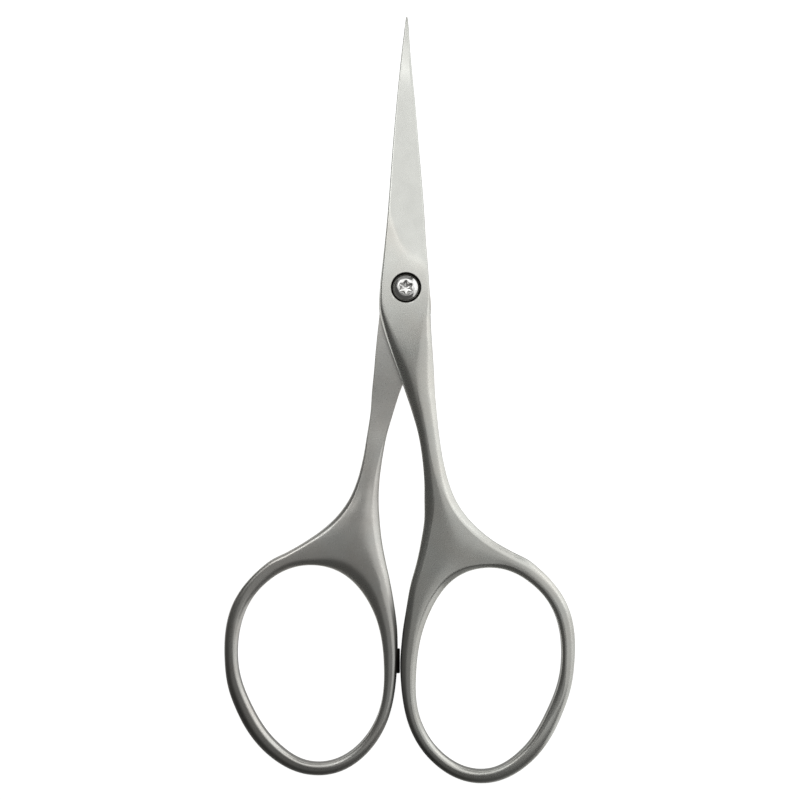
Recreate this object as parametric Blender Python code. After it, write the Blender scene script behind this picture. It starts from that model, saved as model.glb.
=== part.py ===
"""Eyebrow scissors: two forged halves, each a blade, a shank and a finger bow in one steel,
turning on a screw. They lie closed and flat. Metres; the pivot's axis is +Z through the origin,
the tips point along +Y and z = 0 is the plane that the lower joint rests on.

Each half is modelled in its own frame: x towards its cutting edge, y towards its tip and h upward
from the mating plane to its outer face. The upper half stands in the world like that. The lower
one is the same kind of forging turned over about Y.
"""
import math

import bmesh
import bpy
import numpy as np
from mathutils import Matrix

# Blades: from the pivot to the tip, and the closed pair's two sides at the pivot
BLADE_LENGTH = 0.0319
LEFT_SIDE = 0.00306
RIGHT_SIDE = 0.00272
SPINE_COVER = 0.00006
JOINT_THICKNESS = 0.0017
MATING_GAP = 0.00004
SPINE_HEIGHT = 0.0014
EDGE_HEIGHT = 0.00028
HOLLOW_DEPTH = 0.00008
RUNOUT_LENGTH = 0.0015

# Shanks: from the pivot to the middle of each finger bow, along Y, and the width at the crossing
UPPER_SHANK_LENGTH = 0.0447
LOWER_SHANK_LENGTH = 0.04415
SHANK_WIDTH = 0.0059

# Finger bows: the hole, the steel around it and its depth, which straddles the mating plane
HOLE_WIDTH = 0.01736
UPPER_HOLE_LENGTH = 0.02378
LOWER_HOLE_LENGTH = 0.02322
BOW_BAND = 0.00165
BOW_DEPTH = 0.0028
BOW_SEAM = -0.000775
BOW_GAP = 0.0004

# Closing stop between the bows
STOP_LENGTH = 0.0029
STOP_RISE = 0.00024
STOP_DEPTH = 0.0007
STOP_ROOT = 0.0004
STOP_CLEARANCE = 0.00003
STOP_ROUND = 0.00012

# Pivot screw
HEAD_DIAMETER = 0.00315
HEAD_GAP = 0.0002
HEAD_SINK = 0.0008
HEAD_CROWN = 0.00014
HEAD_CHAMFER = 0.0003
SHOULDER_DIAMETER = 0.0022
THREAD_DIAMETER = 0.0018
RUNNING_GAP = 0.00003
SEAT_GAP = 0.00002
SCREW_END_CHAMFER = 0.00015
RECESS_WIDTH = 0.0017
RECESS_DEPTH = 0.0006
LOBE_SHARE = 0.14
CUT_OVERRUN = 0.001

# How finely the pieces are divided
ROWS_PER_STATION = 2
FACE_CELLS = 8
BOW_COLUMNS = 52
ROUND_STEPS = 3
TURN_STEPS = 40
LOBE_STEPS = 6

# Closed blades: a share of the blade's length from the pivot, then shares of the left and the
# right side
BLADE_SHARES = (
    (1.000, 0.004, 0.045),
    (0.967, 0.045, 0.094),
    (0.908, 0.121, 0.140),
    (0.841, 0.201, 0.200),
    (0.694, 0.352, 0.366),
    (0.509, 0.519, 0.553),
    (0.325, 0.663, 0.736),
    (0.250, 0.727, 0.794),
    (0.177, 0.803, 0.843),
    (0.096, 0.894, 0.919),
    (0.000, 1.000, 1.000),
    (-0.092, 1.019, 1.055),
)

# Shanks: shares of the line from the pivot to the bow's middle, and of the shank's width across
# it, first for the side that faces the other handle and then for the outer side
UPPER_SHANK_SHARES = (
    (0.102, -0.609, 0.127, 0.302),
    (0.156, -0.563, 0.178, 0.244),
    (0.207, -0.507, 0.227, 0.187),
    (0.259, -0.459, 0.275, 0.123),
    (0.315, -0.412, 0.329, 0.069),
    (0.379, -0.385, 0.391, 0.018),
    (0.442, -0.413, 0.453, -0.010),
    (0.498, -0.471, 0.511, 0.004),
    (0.543, -0.544, 0.561, 0.068),
    (0.594, -0.633, 0.607, 0.205),
    (0.642, -0.773, 0.647, 0.393),
    (0.695, -0.955, 0.683, 0.618),
)
LOWER_SHANK_SHARES = (
    (0.101, -0.575, 0.131, 0.330),
    (0.156, -0.529, 0.182, 0.270),
    (0.209, -0.468, 0.231, 0.207),
    (0.262, -0.401, 0.280, 0.149),
    (0.318, -0.375, 0.333, 0.074),
    (0.383, -0.359, 0.396, 0.025),
    (0.446, -0.392, 0.459, -0.013),
    (0.503, -0.447, 0.517, -0.007),
    (0.548, -0.521, 0.568, 0.059),
    (0.598, -0.639, 0.615, 0.202),
    (0.647, -0.779, 0.657, 0.408),
    (0.699, -0.964, 0.696, 0.663),
)
WEB_STATIONS = 5

# Finger holes: the upper and the lower half's radius at every 30 degrees from +x, as shares of an
# ellipse in the hole's box
HOLE_SHARES = (
    (0.977, 0.978),
    (1.038, 1.021),
    (1.008, 1.003),
    (0.993, 0.995),
    (0.998, 1.010),
    (0.971, 1.006),
    (0.982, 1.001),
    (1.062, 1.060),
    (1.051, 1.054),
    (1.008, 1.005),
    (0.929, 0.923),
    (0.901, 0.904),
)

# Steel around the hole: the angle, its width in the upper and in the lower half as shares of the
# band, and then the shares of that width that the outer face's roundings take, at the outer side
# and in the hole, and the mating face's two, so that the oval twists round the bow
BAND_SHARES = (
    (0, 0.90, 0.90, 0.34, 0.58, 0.66, 0.26),
    (30, 1.07, 1.03, 0.34, 0.56, 0.48, 0.42),
    (55, 1.16, 1.04, 0.34, 0.52, 0.24, 0.60),
    (76, 1.31, 1.12, 0.31, 0.42, 0.22, 0.52),
    (107, 1.60, 1.55, 0.24, 0.14, 0.20, 0.66),
    (138, 2.03, 2.06, 0.24, 0.20, 0.30, 0.50),
    (150, 1.60, 1.54, 0.34, 0.28, 0.34, 0.46),
    (165, 1.30, 1.18, 0.48, 0.30, 0.36, 0.52),
    (180, 1.16, 0.97, 0.58, 0.30, 0.36, 0.56),
    (200, 0.94, 0.79, 0.60, 0.30, 0.36, 0.56),
    (225, 0.89, 0.80, 0.62, 0.28, 0.42, 0.50),
    (250, 0.88, 0.84, 0.64, 0.26, 0.60, 0.32),
    (270, 0.88, 0.83, 0.66, 0.24, 0.66, 0.26),
    (300, 1.01, 1.01, 0.68, 0.24, 0.66, 0.26),
    (325, 1.03, 1.07, 0.62, 0.30, 0.66, 0.26),
    (345, 0.95, 1.01, 0.44, 0.48, 0.66, 0.26),
)
WEB_START_ANGLE = 76
WEB_END_ANGLE = 138
WEB_ANGLES = np.linspace(WEB_END_ANGLE, WEB_START_ANGLE, FACE_CELLS + 1)
FREE_ANGLES = np.linspace(WEB_END_ANGLE, WEB_START_ANGLE + 360, BOW_COLUMNS - FACE_CELLS + 1)

# Heights along a half. A place is a share of the blade's length above the pivot and, below it,
# minus a share of the line to the bow's middle. First the ground blade: shares of the spine's and
# of the cutting edge's height, and where the grinding wheel ran out, edge, middle and spine.
GROUND_SHARES = (
    (0.00, 1.10, 1.60),
    (0.28, 0.96, 1.00),
    (0.60, 0.68, 0.78),
    (0.90, 0.40, 0.56),
    (1.00, 0.24, 0.42),
)
RUNOUT_SHARES = (0.085, 0.140, 0.280)
# Then the shank: how far the outer face stands between the bow's height and the joint's, and how
# far the mating face has come from the mating plane to the bow's other face
FACE_SHARES = (
    (-0.76, 0.00, 1.00),
    (-0.70, 0.00, 0.98),
    (-0.62, -0.02, 0.87),
    (-0.52, -0.20, 0.60),
    (-0.42, -0.25, 0.30),
    (-0.34, 0.00, 0.07),
    (-0.28, 0.35, 0.00),
    (-0.20, 0.82, 0.00),
    (-0.13, 1.00, 0.00),
    (0.00, 1.00, 0.00),
)
# And the roundings, as shares of the width there: the outer face's at its spine and edge sides,
# the mating face's two, and how much deeper than wide they are on the blade. Below the joint they
# take the bow's shape, and along the web its widths too.
ROUND_SHARES = (
    (-0.70, 0.100, 0.080, 0.150, 0.060, 1.00),
    (-0.62, 0.180, 0.160, 0.180, 0.080, 1.00),
    (-0.55, 0.340, 0.240, 0.230, 0.110, 1.00),
    (-0.50, 0.380, 0.380, 0.220, 0.120, 1.00),
    (-0.44, 0.380, 0.520, 0.140, 0.100, 1.00),
    (-0.38, 0.370, 0.570, 0.070, 0.060, 1.00),
    (-0.32, 0.370, 0.570, 0.040, 0.040, 1.00),
    (-0.26, 0.360, 0.540, 0.030, 0.030, 1.00),
    (-0.21, 0.330, 0.480, 0.022, 0.022, 1.00),
    (-0.15, 0.240, 0.320, 0.020, 0.020, 1.00),
    (-0.05, 0.090, 0.080, 0.015, 0.015, 1.00),
    (0.00, 0.060, 0.030, 0.015, 0.015, 1.00),
    (0.30, 0.050, 0.050, 0.010, 0.006, 0.80),
    (0.70, 0.070, 0.090, 0.020, 0.010, 0.80),
    (1.00, 0.300, 0.300, 0.050, 0.030, 0.80),
)
# How much of the steel's depth one of the blade's roundings may take and how full it is. The bow's
# fall away gently from a crest, ever steeper, and turn into the wall in a tight edge.
BODY_SHARE = 0.42
BLADE_FULLNESS = 1.1
BOW_SHAPE_SHARES = (-0.12, -0.28)
CREST_TILT = math.radians(6)
EDGE_TILT = math.radians(42)
EDGE_RADIUS = 0.00014
SLOPE_PART = 2 / 3


def between(start, end, part):
    return start + (end - start) * part


def smooth_step(part):
    part = min(max(part, 0), 1)
    return part * part * (3 - 2 * part)


def curve_through(knots, values, steady=False):
    """A smooth curve through values at rising knots. A steady one never swings past a value."""
    knots = np.array(knots, dtype=float)
    values = np.array(values, dtype=float)
    spans = np.diff(knots).reshape((-1,) + (1,) * (values.ndim - 1))
    if steady:
        rise = np.diff(values, axis=0) / spans
        total = rise[1:] + rise[:-1]
        same_way = rise[1:] * rise[:-1] > 0
        mean = 2 * rise[1:] * rise[:-1] / np.where(same_way, total, 1)
        slopes = np.concatenate((rise[:1], np.where(same_way, mean, 0), rise[-1:]))
    else:
        slopes = np.gradient(values, knots, axis=0)

    def value_at(knot):
        first = int(np.clip(np.searchsorted(knots, knot) - 1, 0, len(knots) - 2))
        part = (knot - knots[first]) / (knots[first + 1] - knots[first])
        start = (1 + 2 * part) * (1 - part) ** 2 * values[first]
        end = part * part * (3 - 2 * part) * values[first + 1]
        leave = part * (1 - part) ** 2 * spans[first] * slopes[first]
        arrive = part * part * (part - 1) * spans[first] * slopes[first + 1]
        return start + end + leave + arrive

    return value_at


def table_curve(shares, steady=False):
    """A smooth curve through a table whose first column is the place."""
    rows = sorted(shares)
    return curve_through([row[0] for row in rows], [row[1:] for row in rows], steady)


def path_through(points):
    """A smooth path through points in the plane, read by their running number."""
    points = np.array(points, dtype=float)
    chords = np.linalg.norm(np.diff(points, axis=0), axis=1)
    knots = np.concatenate(([0.0], np.cumsum(chords)))
    path = curve_through(knots, points)

    def point_at(number):
        return path(float(np.interp(number, range(len(knots)), knots)))

    return point_at


ground_at = table_curve(GROUND_SHARES, steady=True)
faces_at = table_curve(FACE_SHARES, steady=True)
rounds_at = table_curve(ROUND_SHARES, steady=True)
runout_at = curve_through((0, 0.5, 1), RUNOUT_SHARES[::-1])
hole_marks = range(-2, 15)
hole_radius_at = curve_through([30 * mark for mark in hole_marks],
                               [HOLE_SHARES[mark % 12] for mark in hole_marks])
band_at = table_curve([(row[0] + lap,) + row[1:] for lap in (-360, 0, 360) for row in BAND_SHARES])


def left_of(before, after):
    """The unit direction to the left of the way from one point to another."""
    way = after - before
    return np.array((-way[1], way[0])) / np.linalg.norm(way)


def blade_rounding(part, width, height):
    """How far in and how far down a part of a blade's rounding is: nearly a quarter of an ellipse."""
    turn = math.pi / 2 * part
    inset = width * (1 - math.sin(turn) ** BLADE_FULLNESS)
    drop = height * (1 - max(math.cos(turn), 0) ** BLADE_FULLNESS)
    return np.array((inset, drop))


def bow_rounding(part, width):
    """The same for a bow's: a slope that grows steeper from the crest, then a tight edge."""
    crest_slope, edge_slope = math.tan(CREST_TILT), math.tan(EDGE_TILT)
    slope_width = width - EDGE_RADIUS * (1 - math.sin(EDGE_TILT))
    run = min(part / SLOPE_PART, 1)
    drop = slope_width * (crest_slope * run + (edge_slope - crest_slope) / 2 * run * run)
    tilt = between(EDGE_TILT, math.pi / 2, max(part - SLOPE_PART, 0) / (1 - SLOPE_PART))
    inset = slope_width * (1 - run) + EDGE_RADIUS * (1 - math.sin(tilt))
    return np.array((inset, drop + EDGE_RADIUS * (math.cos(EDGE_TILT) - math.cos(tilt))))


def rim(outline, inward, levels, sizes, bow_share):
    """Points round one side of the steel, from the outer face's edge to the mating face's edge."""
    points = []
    for face, way, order in ((0, -1, 1), (1, 1, -1)):
        quarter = []
        for step in range(ROUND_STEPS + 1):
            part = step / ROUND_STEPS
            width, height = sizes[face]
            inset, drop = between(blade_rounding(part, width, height), bow_rounding(part, width), bow_share)
            quarter.append((*(outline + inward * inset), levels[face] + way * drop))
        points += quarter[::order]
    return points


def bow_shape(place):
    """How far a half's section has come, below the joint, to the bow's shape."""
    start, end = BOW_SHAPE_SHARES
    return smooth_step((place - start) / (end - start))


class Forging:
    """One half of the scissors: its outlines in the plane and its heights."""

    def __init__(self, side, spine_side, edge_side, cover, shank_length, shank_shares, hole_length):
        self.hole_size = (HOLE_WIDTH / 2, hole_length / 2)
        self.half = 0 if side > 0 else 1
        offset = side * BOW_SEAM + BOW_GAP / 2 + BOW_BAND + HOLE_WIDTH / 2
        self.centre = np.array((offset, -shank_length))
        reach = np.linalg.norm(self.centre)
        along = self.centre / reach
        across = np.array((-along[1], along[0]))
        spine_column, edge_column = (1, 2) if side > 0 else (2, 1)
        spine_points = []
        edge_points = []
        self.places = []
        for row in BLADE_SHARES:
            spine = row[spine_column] * spine_side + cover
            edge = row[edge_column] * edge_side
            spine_points.append((-spine, row[0] * BLADE_LENGTH))
            edge_points.append((edge, row[0] * BLADE_LENGTH))
            self.places.append(row[0] if row[0] >= 0 else row[0] * BLADE_LENGTH / reach)
        for row in shank_shares:
            spine_points.append(along * row[0] * reach + across * row[1] * SHANK_WIDTH)
            edge_points.append(along * row[2] * reach + across * row[3] * SHANK_WIDTH)
            self.places.append(-(row[0] + row[2]) / 2)
        self.stations = len(spine_points)
        self.web_start = self.stations - WEB_STATIONS
        self.places.append(FACE_SHARES[0][0])
        for lap in (0, 10, 20):
            spine_points.append(self.bow_outline(WEB_END_ANGLE + lap))
            edge_points.append(self.bow_outline(WEB_START_ANGLE - lap))
        self.spine_path = path_through(spine_points)
        self.edge_path = path_through(edge_points)

    def hole(self, angle):
        around = math.radians(angle)
        share = hole_radius_at(angle % 360)[self.half]
        width, length = self.hole_size
        return self.centre + share * np.array((width * math.cos(around), length * math.sin(around)))

    def outward(self, angle):
        return -left_of(self.hole(angle - 1), self.hole(angle + 1))

    def band(self, angle):
        """The width of the steel around the hole, and its roundings on the outer and mating face."""
        column = band_at(angle % 360)
        return column[self.half] * BOW_BAND, column[2:4], column[4:6]

    def bow_outline(self, angle):
        return self.hole(angle) + self.outward(angle) * self.band(angle)[0]

    def face_levels(self, place, part):
        """Heights of the outer and the mating face, from the spine side to the edge side."""
        joint, risen = faces_at(min(place, 0))
        outer = between(BOW_DEPTH / 2, JOINT_THICKNESS, joint)
        mating = -BOW_DEPTH / 2 * risen
        if place > 0:
            spine, edge = ground_at(place)
            ground = between(spine * SPINE_HEIGHT, edge * EDGE_HEIGHT, part)
            past = (place - runout_at(part)) * BLADE_LENGTH / RUNOUT_LENGTH
            outer = between(outer, min(ground, outer), smooth_step(past + 1 / 2))
            hollow = HOLLOW_DEPTH * between(1, 1 / 3, place) * 4 * part * (1 - part)
            mating = hollow * smooth_step(place / RUNOUT_SHARES[0])
        return outer, mating

    def trunk_rims(self, number):
        """The rims at both sides of the blade or shank, at a place counted in stations."""
        place = float(np.interp(number, range(len(self.places)), self.places))
        rounds = rounds_at(place)
        step = 0.1
        before = max(number - step, 0)
        web = smooth_step((number - self.web_start) / WEB_STATIONS)
        bow_share = bow_shape(place)
        ends = (self.spine_path(number), self.edge_path(number))
        width = np.linalg.norm(ends[1] - ends[0])
        rims = []
        for part, path, turn in ((0, self.spine_path, 1), (1, self.edge_path, -1)):
            inward = turn * left_of(path(before), path(number + step))
            levels = self.face_levels(place, part)
            body = (levels[0] - levels[1]) * BODY_SHARE
            gate = self.bow_roundings((WEB_END_ANGLE, WEB_START_ANGLE)[part], False)
            sizes = []
            for face in (0, 1):
                size = rounds[2 * face + part] * width
                sizes.append((between(size, gate[face], web), min(size * rounds[4], body)))
            rims.append(rim(ends[part], inward, levels, sizes, bow_share))
        return place, rims

    def bow_roundings(self, angle, in_hole):
        """How wide the bow's roundings are on its outer and its mating face."""
        width, *faces = self.band(angle)
        return [shares[int(in_hole)] * width for shares in faces]

    def bow_rim(self, angle, in_hole):
        """The rim of the finger bow, in its hole or at its outer side."""
        step = 2
        if in_hole:
            outline = self.hole(angle)
            inward = self.outward(angle)
        else:
            outline = self.bow_outline(angle)
            inward = left_of(self.bow_outline(angle - step), self.bow_outline(angle + step))
        sizes = [(width, 0) for width in self.bow_roundings(angle, in_hole)]
        return rim(outline, inward, (BOW_DEPTH / 2, -BOW_DEPTH / 2), sizes, 1)

    def web_arc(self, face, gates):
        """The row of points where the web's face meets the bow's, from gate to gate."""
        level = (BOW_DEPTH / 2, -BOW_DEPTH / 2)[face]
        arc = []
        for angle in WEB_ANGLES:
            width, *faces = self.band(angle)
            crest = width * (1 - faces[face][0])
            arc.append((*(self.hole(angle) + self.outward(angle) * crest), level))
        arc[0] = gates[0][-face]
        arc[-1] = gates[1][-face]
        return np.array(arc)

    def trunk(self):
        """Rows from the tip to the bow: the rims at both sides and the two faces between them."""
        gates = (self.bow_rim(WEB_END_ANGLE, False), self.bow_rim(WEB_START_ANGLE, False))
        arcs = [self.web_arc(face, gates) for face in (0, 1)]
        parts = np.linspace(0, 1, FACE_CELLS + 1).reshape(-1, 1)
        neck = None
        rows = []
        for count in range(self.stations * ROWS_PER_STATION):
            number = count / ROWS_PER_STATION
            place, rims = self.trunk_rims(number)
            faces = [between(np.array(rims[0][-face]), np.array(rims[1][-face]), parts) for face in (0, 1)]
            if place > 0:
                for face in (0, 1):
                    faces[face][:, 2] = [self.face_levels(place, part)[face] for part in parts[:, 0]]
            if number == self.web_start:
                neck = faces
            if number > self.web_start:
                # Between the neck and the bow the straight rows bend into the bow's arc
                run = (number - self.web_start) / WEB_STATIONS
                for face in (0, 1):
                    ruled = between(neck[face], arcs[face], run)
                    faces[face] += ruled - between(ruled[0], ruled[-1], parts)
            # The outer face is domed, so that it meets its roundings at their crest's tilt
            past_neck = smooth_step((number - self.web_start) / WEB_STATIONS)
            rise = np.linalg.norm(faces[0][-1] - faces[0][0]) * math.tan(CREST_TILT)
            dome = parts[:, 0] * (1 - parts[:, 0]) * bow_shape(place) * (1 - past_neck)
            faces[0][:, 2] += rise * dome
            rows.append((rims, faces))
        rows.append((gates, arcs))
        return rows

    def mesh(self):
        """The half as one closed mesh in its own frame."""
        mesh = bmesh.new()

        def vertices(points):
            return [mesh.verts.new(point) for point in points]

        def skin(first, second):
            for one in range(len(first) - 1):
                mesh.faces.new((first[one], first[one + 1], second[one + 1], second[one]))

        loops = []
        for rims, faces in self.trunk():
            outer, mating = vertices(faces[0]), vertices(faces[1])
            spine = [outer[0]] + vertices(rims[0][1:-1]) + [mating[0]]
            edge = [outer[-1]] + vertices(rims[1][1:-1]) + [mating[-1]]
            loops.append((outer, mating, spine, edge))
        for one, two in zip(loops, loops[1:]):
            for first, second in zip(one, two):
                skin(first, second)
        outer, mating, spine, edge = loops[0]
        skin(outer, mating)
        mesh.faces.new(spine)
        mesh.faces.new(edge)

        # The free part of the bow has both rims, and the web's part only the one in the hole
        outer, mating, spine, edge = loops[-1]
        holes = [vertices(self.bow_rim(angle, True)) for angle in FREE_ANGLES]
        outers = [vertices(self.bow_rim(angle, False)) for angle in FREE_ANGLES[1:-1]]
        outers = [spine] + outers + [edge]
        for number in range(len(FREE_ANGLES) - 1):
            one, two = holes[number:number + 2]
            first, second = outers[number:number + 2]
            skin(one, two)
            skin(first, second)
            for end in (0, -1):
                skin((one[end], first[end]), (two[end], second[end]))
        web = [vertices(self.bow_rim(angle, True)) for angle in WEB_ANGLES[1:-1]]
        web = [holes[0]] + web + [holes[-1]]
        for cell in range(FACE_CELLS):
            one, two = web[cell:cell + 2]
            skin(one, two)
            skin((one[0], outer[cell]), (two[0], outer[cell + 1]))
            skin((one[-1], mating[cell]), (two[-1], mating[cell + 1]))
        bmesh.ops.recalc_face_normals(mesh, faces=mesh.faces)
        return mesh


def steel(name, colour, roughness):
    material = bpy.data.materials.new(name)
    material.use_nodes = True
    shader = material.node_tree.nodes["Principled BSDF"]
    shader.inputs["Base Color"].default_value = (*colour, 1)
    shader.inputs["Metallic"].default_value = 1
    shader.inputs["Roughness"].default_value = roughness
    return material


def add_object(name, mesh, material=None):
    """An object from a mesh in world coordinates, with its origin on the pivot's axis."""
    data = bpy.data.meshes.new(name)
    mesh.to_mesh(data)
    mesh.free()
    piece = bpy.data.objects.new(name, data)
    bpy.context.collection.objects.link(piece)
    if material:
        data.materials.append(material)
        data.shade_smooth()
        data.set_sharp_from_angle(angle=math.radians(35))
    else:
        piece.hide_render = True
        piece.display_type = "WIRE"
    return piece


def turned(profile):
    """A mesh turned round the pivot's axis from radius and height, bottom to top."""
    mesh = bmesh.new()
    points = [mesh.verts.new((radius, 0, height)) for radius, height in profile]
    edges = [mesh.edges.new(pair) for pair in zip(points, points[1:])]
    bmesh.ops.spin(mesh, geom=points + edges, axis=(0, 0, 1), cent=(0, 0, 0), angle=math.tau,
                   steps=TURN_STEPS, use_merge=True)
    bmesh.ops.remove_doubles(mesh, verts=mesh.verts, dist=SEAT_GAP / 10)
    bmesh.ops.recalc_face_normals(mesh, faces=mesh.faces)
    return mesh


def combine(piece, tool, operation):
    modifier = piece.modifiers.new(tool.name, "BOOLEAN")
    modifier.operation = operation
    modifier.solver = "EXACT"
    modifier.object = tool


def lobed_cutter(top):
    """The driver's recess: six lobes, straight down into the head."""
    mesh = bmesh.new()
    mean = RECESS_WIDTH / 2 / (1 + LOBE_SHARE)
    ring = []
    for step in range(6 * LOBE_STEPS):
        turn = math.tau * step / (6 * LOBE_STEPS)
        radius = mean * (1 - LOBE_SHARE * math.cos(6 * turn))
        ring.append(mesh.verts.new((radius * math.cos(turn), radius * math.sin(turn), top - RECESS_DEPTH)))
    floor = mesh.faces.new(ring)
    walls = bmesh.ops.extrude_face_region(mesh, geom=[floor])
    raised = [item for item in walls["geom"] if isinstance(item, bmesh.types.BMVert)]
    bmesh.ops.translate(mesh, verts=raised, vec=(0, 0, RECESS_DEPTH + CUT_OVERRUN))
    bmesh.ops.recalc_face_normals(mesh, faces=mesh.faces)
    return mesh


for old in list(bpy.data.objects):
    bpy.data.objects.remove(old)

# The halves
upper_steel = steel("upper_steel", (0.60, 0.60, 0.57), 0.32)
lower_steel = steel("lower_steel", (0.57, 0.57, 0.55), 0.34)
upper_forging = Forging(1, LEFT_SIDE, RIGHT_SIDE, 0, UPPER_SHANK_LENGTH, UPPER_SHANK_SHARES,
                        UPPER_HOLE_LENGTH)
lower_forging = Forging(-1, RIGHT_SIDE, LEFT_SIDE, SPINE_COVER, LOWER_SHANK_LENGTH, LOWER_SHANK_SHARES,
                        LOWER_HOLE_LENGTH)
mating_plane = JOINT_THICKNESS
upper_plane = mating_plane + MATING_GAP
joint_top = upper_plane + JOINT_THICKNESS
upper_mesh = upper_forging.mesh()
upper_mesh.transform(Matrix.Translation((0, 0, upper_plane)))
upper_half = add_object("upper_half", upper_mesh, upper_steel)
lower_mesh = lower_forging.mesh()
lower_mesh.transform(Matrix.Translation((0, 0, mating_plane)) @ Matrix.Rotation(math.pi, 4, "Y"))
lower_half = add_object("lower_half", lower_mesh, lower_steel)

# The closing stop, forged on the lower bow and reaching to the upper one
facing_angles = range(165, 196)
lower_side = -min(lower_forging.bow_outline(angle)[0] for angle in facing_angles)
upper_side = min(upper_forging.bow_outline(angle)[0] for angle in facing_angles)
stop_start = lower_side - STOP_ROOT
stop_end = upper_side - STOP_CLEARANCE
stop_mesh = bmesh.new()
bmesh.ops.create_cube(stop_mesh, size=1)
bmesh.ops.scale(stop_mesh, verts=stop_mesh.verts, vec=(stop_end - stop_start, STOP_LENGTH, STOP_DEPTH))
bmesh.ops.translate(stop_mesh, verts=stop_mesh.verts,
                    vec=((stop_start + stop_end) / 2, lower_forging.centre[1] + STOP_RISE,
                         mating_plane))
bmesh.ops.bevel(stop_mesh, geom=stop_mesh.edges[:], offset=STOP_ROUND, segments=2, profile=0.5,
                affect="EDGES")
combine(lower_half, add_object("closing_stop", stop_mesh), "UNION")

# The screw: head in the upper half's counterbore, shoulder that the upper half turns on, and
# thread in the lower half, its end flush with the underside
head_seat = joint_top - HEAD_SINK
head_radius = HEAD_DIAMETER / 2
shoulder_radius = SHOULDER_DIAMETER / 2
thread_radius = THREAD_DIAMETER / 2
crown_radius = head_radius - HEAD_CHAMFER
screw_profile = [
    (0, 0),
    (thread_radius - SCREW_END_CHAMFER, 0),
    (thread_radius, SCREW_END_CHAMFER),
    (thread_radius, mating_plane + SEAT_GAP),
    (shoulder_radius, mating_plane + SEAT_GAP),
    (shoulder_radius, head_seat + SEAT_GAP),
    (head_radius, head_seat + SEAT_GAP),
    (head_radius, joint_top - HEAD_CHAMFER),
    (crown_radius, joint_top),
    (crown_radius / 2, joint_top + HEAD_CROWN * 3 / 4),
    (0, joint_top + HEAD_CROWN),
]
screw_steel = steel("screw_steel", (0.66, 0.65, 0.63), 0.16)
pivot_screw = add_object("pivot_screw", turned(screw_profile), screw_steel)
combine(pivot_screw, add_object("driver_recess", lobed_cutter(joint_top)), "DIFFERENCE")

upper_bore = [
    (0, mating_plane - CUT_OVERRUN),
    (shoulder_radius + RUNNING_GAP, mating_plane - CUT_OVERRUN),
    (shoulder_radius + RUNNING_GAP, head_seat),
    (head_radius + HEAD_GAP, head_seat),
    (head_radius + HEAD_GAP, joint_top + CUT_OVERRUN),
    (0, joint_top + CUT_OVERRUN),
]
combine(upper_half, add_object("screw_seat", turned(upper_bore)), "DIFFERENCE")
lower_bore = [
    (0, -CUT_OVERRUN),
    (thread_radius + RUNNING_GAP, -CUT_OVERRUN),
    (thread_radius + RUNNING_GAP, mating_plane + CUT_OVERRUN),
    (0, mating_plane + CUT_OVERRUN),
]
combine(lower_half, add_object("thread_bore", turned(lower_bore)), "DIFFERENCE")
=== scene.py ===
"""Eyebrow scissors on a white table: two satin forged halves and the polished screw between them.

Metres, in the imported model's frame: the pivot's axis is +Z through the origin, the tips point along
+Y and z = 0 is the table. The halves and the screw are made again here, finer than the solids that
they stand for, in the same sizes.
"""
import math

import bmesh
import bpy
import numpy as np
from mathutils import Matrix, Vector


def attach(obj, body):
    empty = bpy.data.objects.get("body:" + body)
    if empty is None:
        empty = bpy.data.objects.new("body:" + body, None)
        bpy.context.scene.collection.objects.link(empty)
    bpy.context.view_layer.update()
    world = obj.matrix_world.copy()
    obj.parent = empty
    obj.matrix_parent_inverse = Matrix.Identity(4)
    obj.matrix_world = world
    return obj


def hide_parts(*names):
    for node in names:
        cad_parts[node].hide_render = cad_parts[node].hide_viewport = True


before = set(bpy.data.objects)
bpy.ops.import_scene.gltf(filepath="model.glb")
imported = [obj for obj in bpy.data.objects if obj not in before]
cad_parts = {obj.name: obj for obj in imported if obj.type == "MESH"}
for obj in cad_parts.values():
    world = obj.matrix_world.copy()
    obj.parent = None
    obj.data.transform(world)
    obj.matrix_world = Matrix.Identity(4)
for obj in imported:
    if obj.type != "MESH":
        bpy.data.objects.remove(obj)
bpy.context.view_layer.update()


# Upper half
# The half that lies on top and has the right-hand finger bow. One drop forging of stainless steel,
# tumbled to an even satin, then ground on the blade. The ricasso has a counterbore for the screw.

# Blade: from the pivot to the tip, and the closed pair's two sides at the pivot
BLADE_LENGTH = 0.0319
LEFT_SIDE = 0.00306
RIGHT_SIDE = 0.00272
# One half's joint and the gap between the two, the blade's height at its spine and at its edge, the
# hollow of its inner face, how long the grind runs out at its two sides and how soft its line is
JOINT_THICKNESS = 0.0017
MATING_GAP = 0.00004
SPINE_HEIGHT = 0.0014
EDGE_HEIGHT = 0.00028
HOLLOW_DEPTH = 0.00008
HOLLOW_TIP_SHARE = 1 / 3
RUNOUT_LENGTHS = (0.004, 0.008)
GRIND_LINE = 0.0014

# Shank: from the pivot to the middle of the finger bow, along Y, and the width at the crossing
UPPER_SHANK_LENGTH = 0.0447
SHANK_WIDTH = 0.0059

# Finger bow: the hole, the steel around it and its depth, which straddles the mating plane
HOLE_WIDTH = 0.01736
UPPER_HOLE_LENGTH = 0.02378
BOW_BAND = 0.00165
BOW_DEPTH = 0.0028
BOW_SEAM = -0.000775
BOW_GAP = 0.0004

# How finely the halves are divided, and how much of a bow's rounding is its slope, the rest its edge
ROWS_PER_STATION = 6
FACE_CELLS = 24
BAND_CELLS = 8
BOW_COLUMNS = 216
ROUND_STEPS = 9
SLOPE_SHARE = 2 / 3

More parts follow.
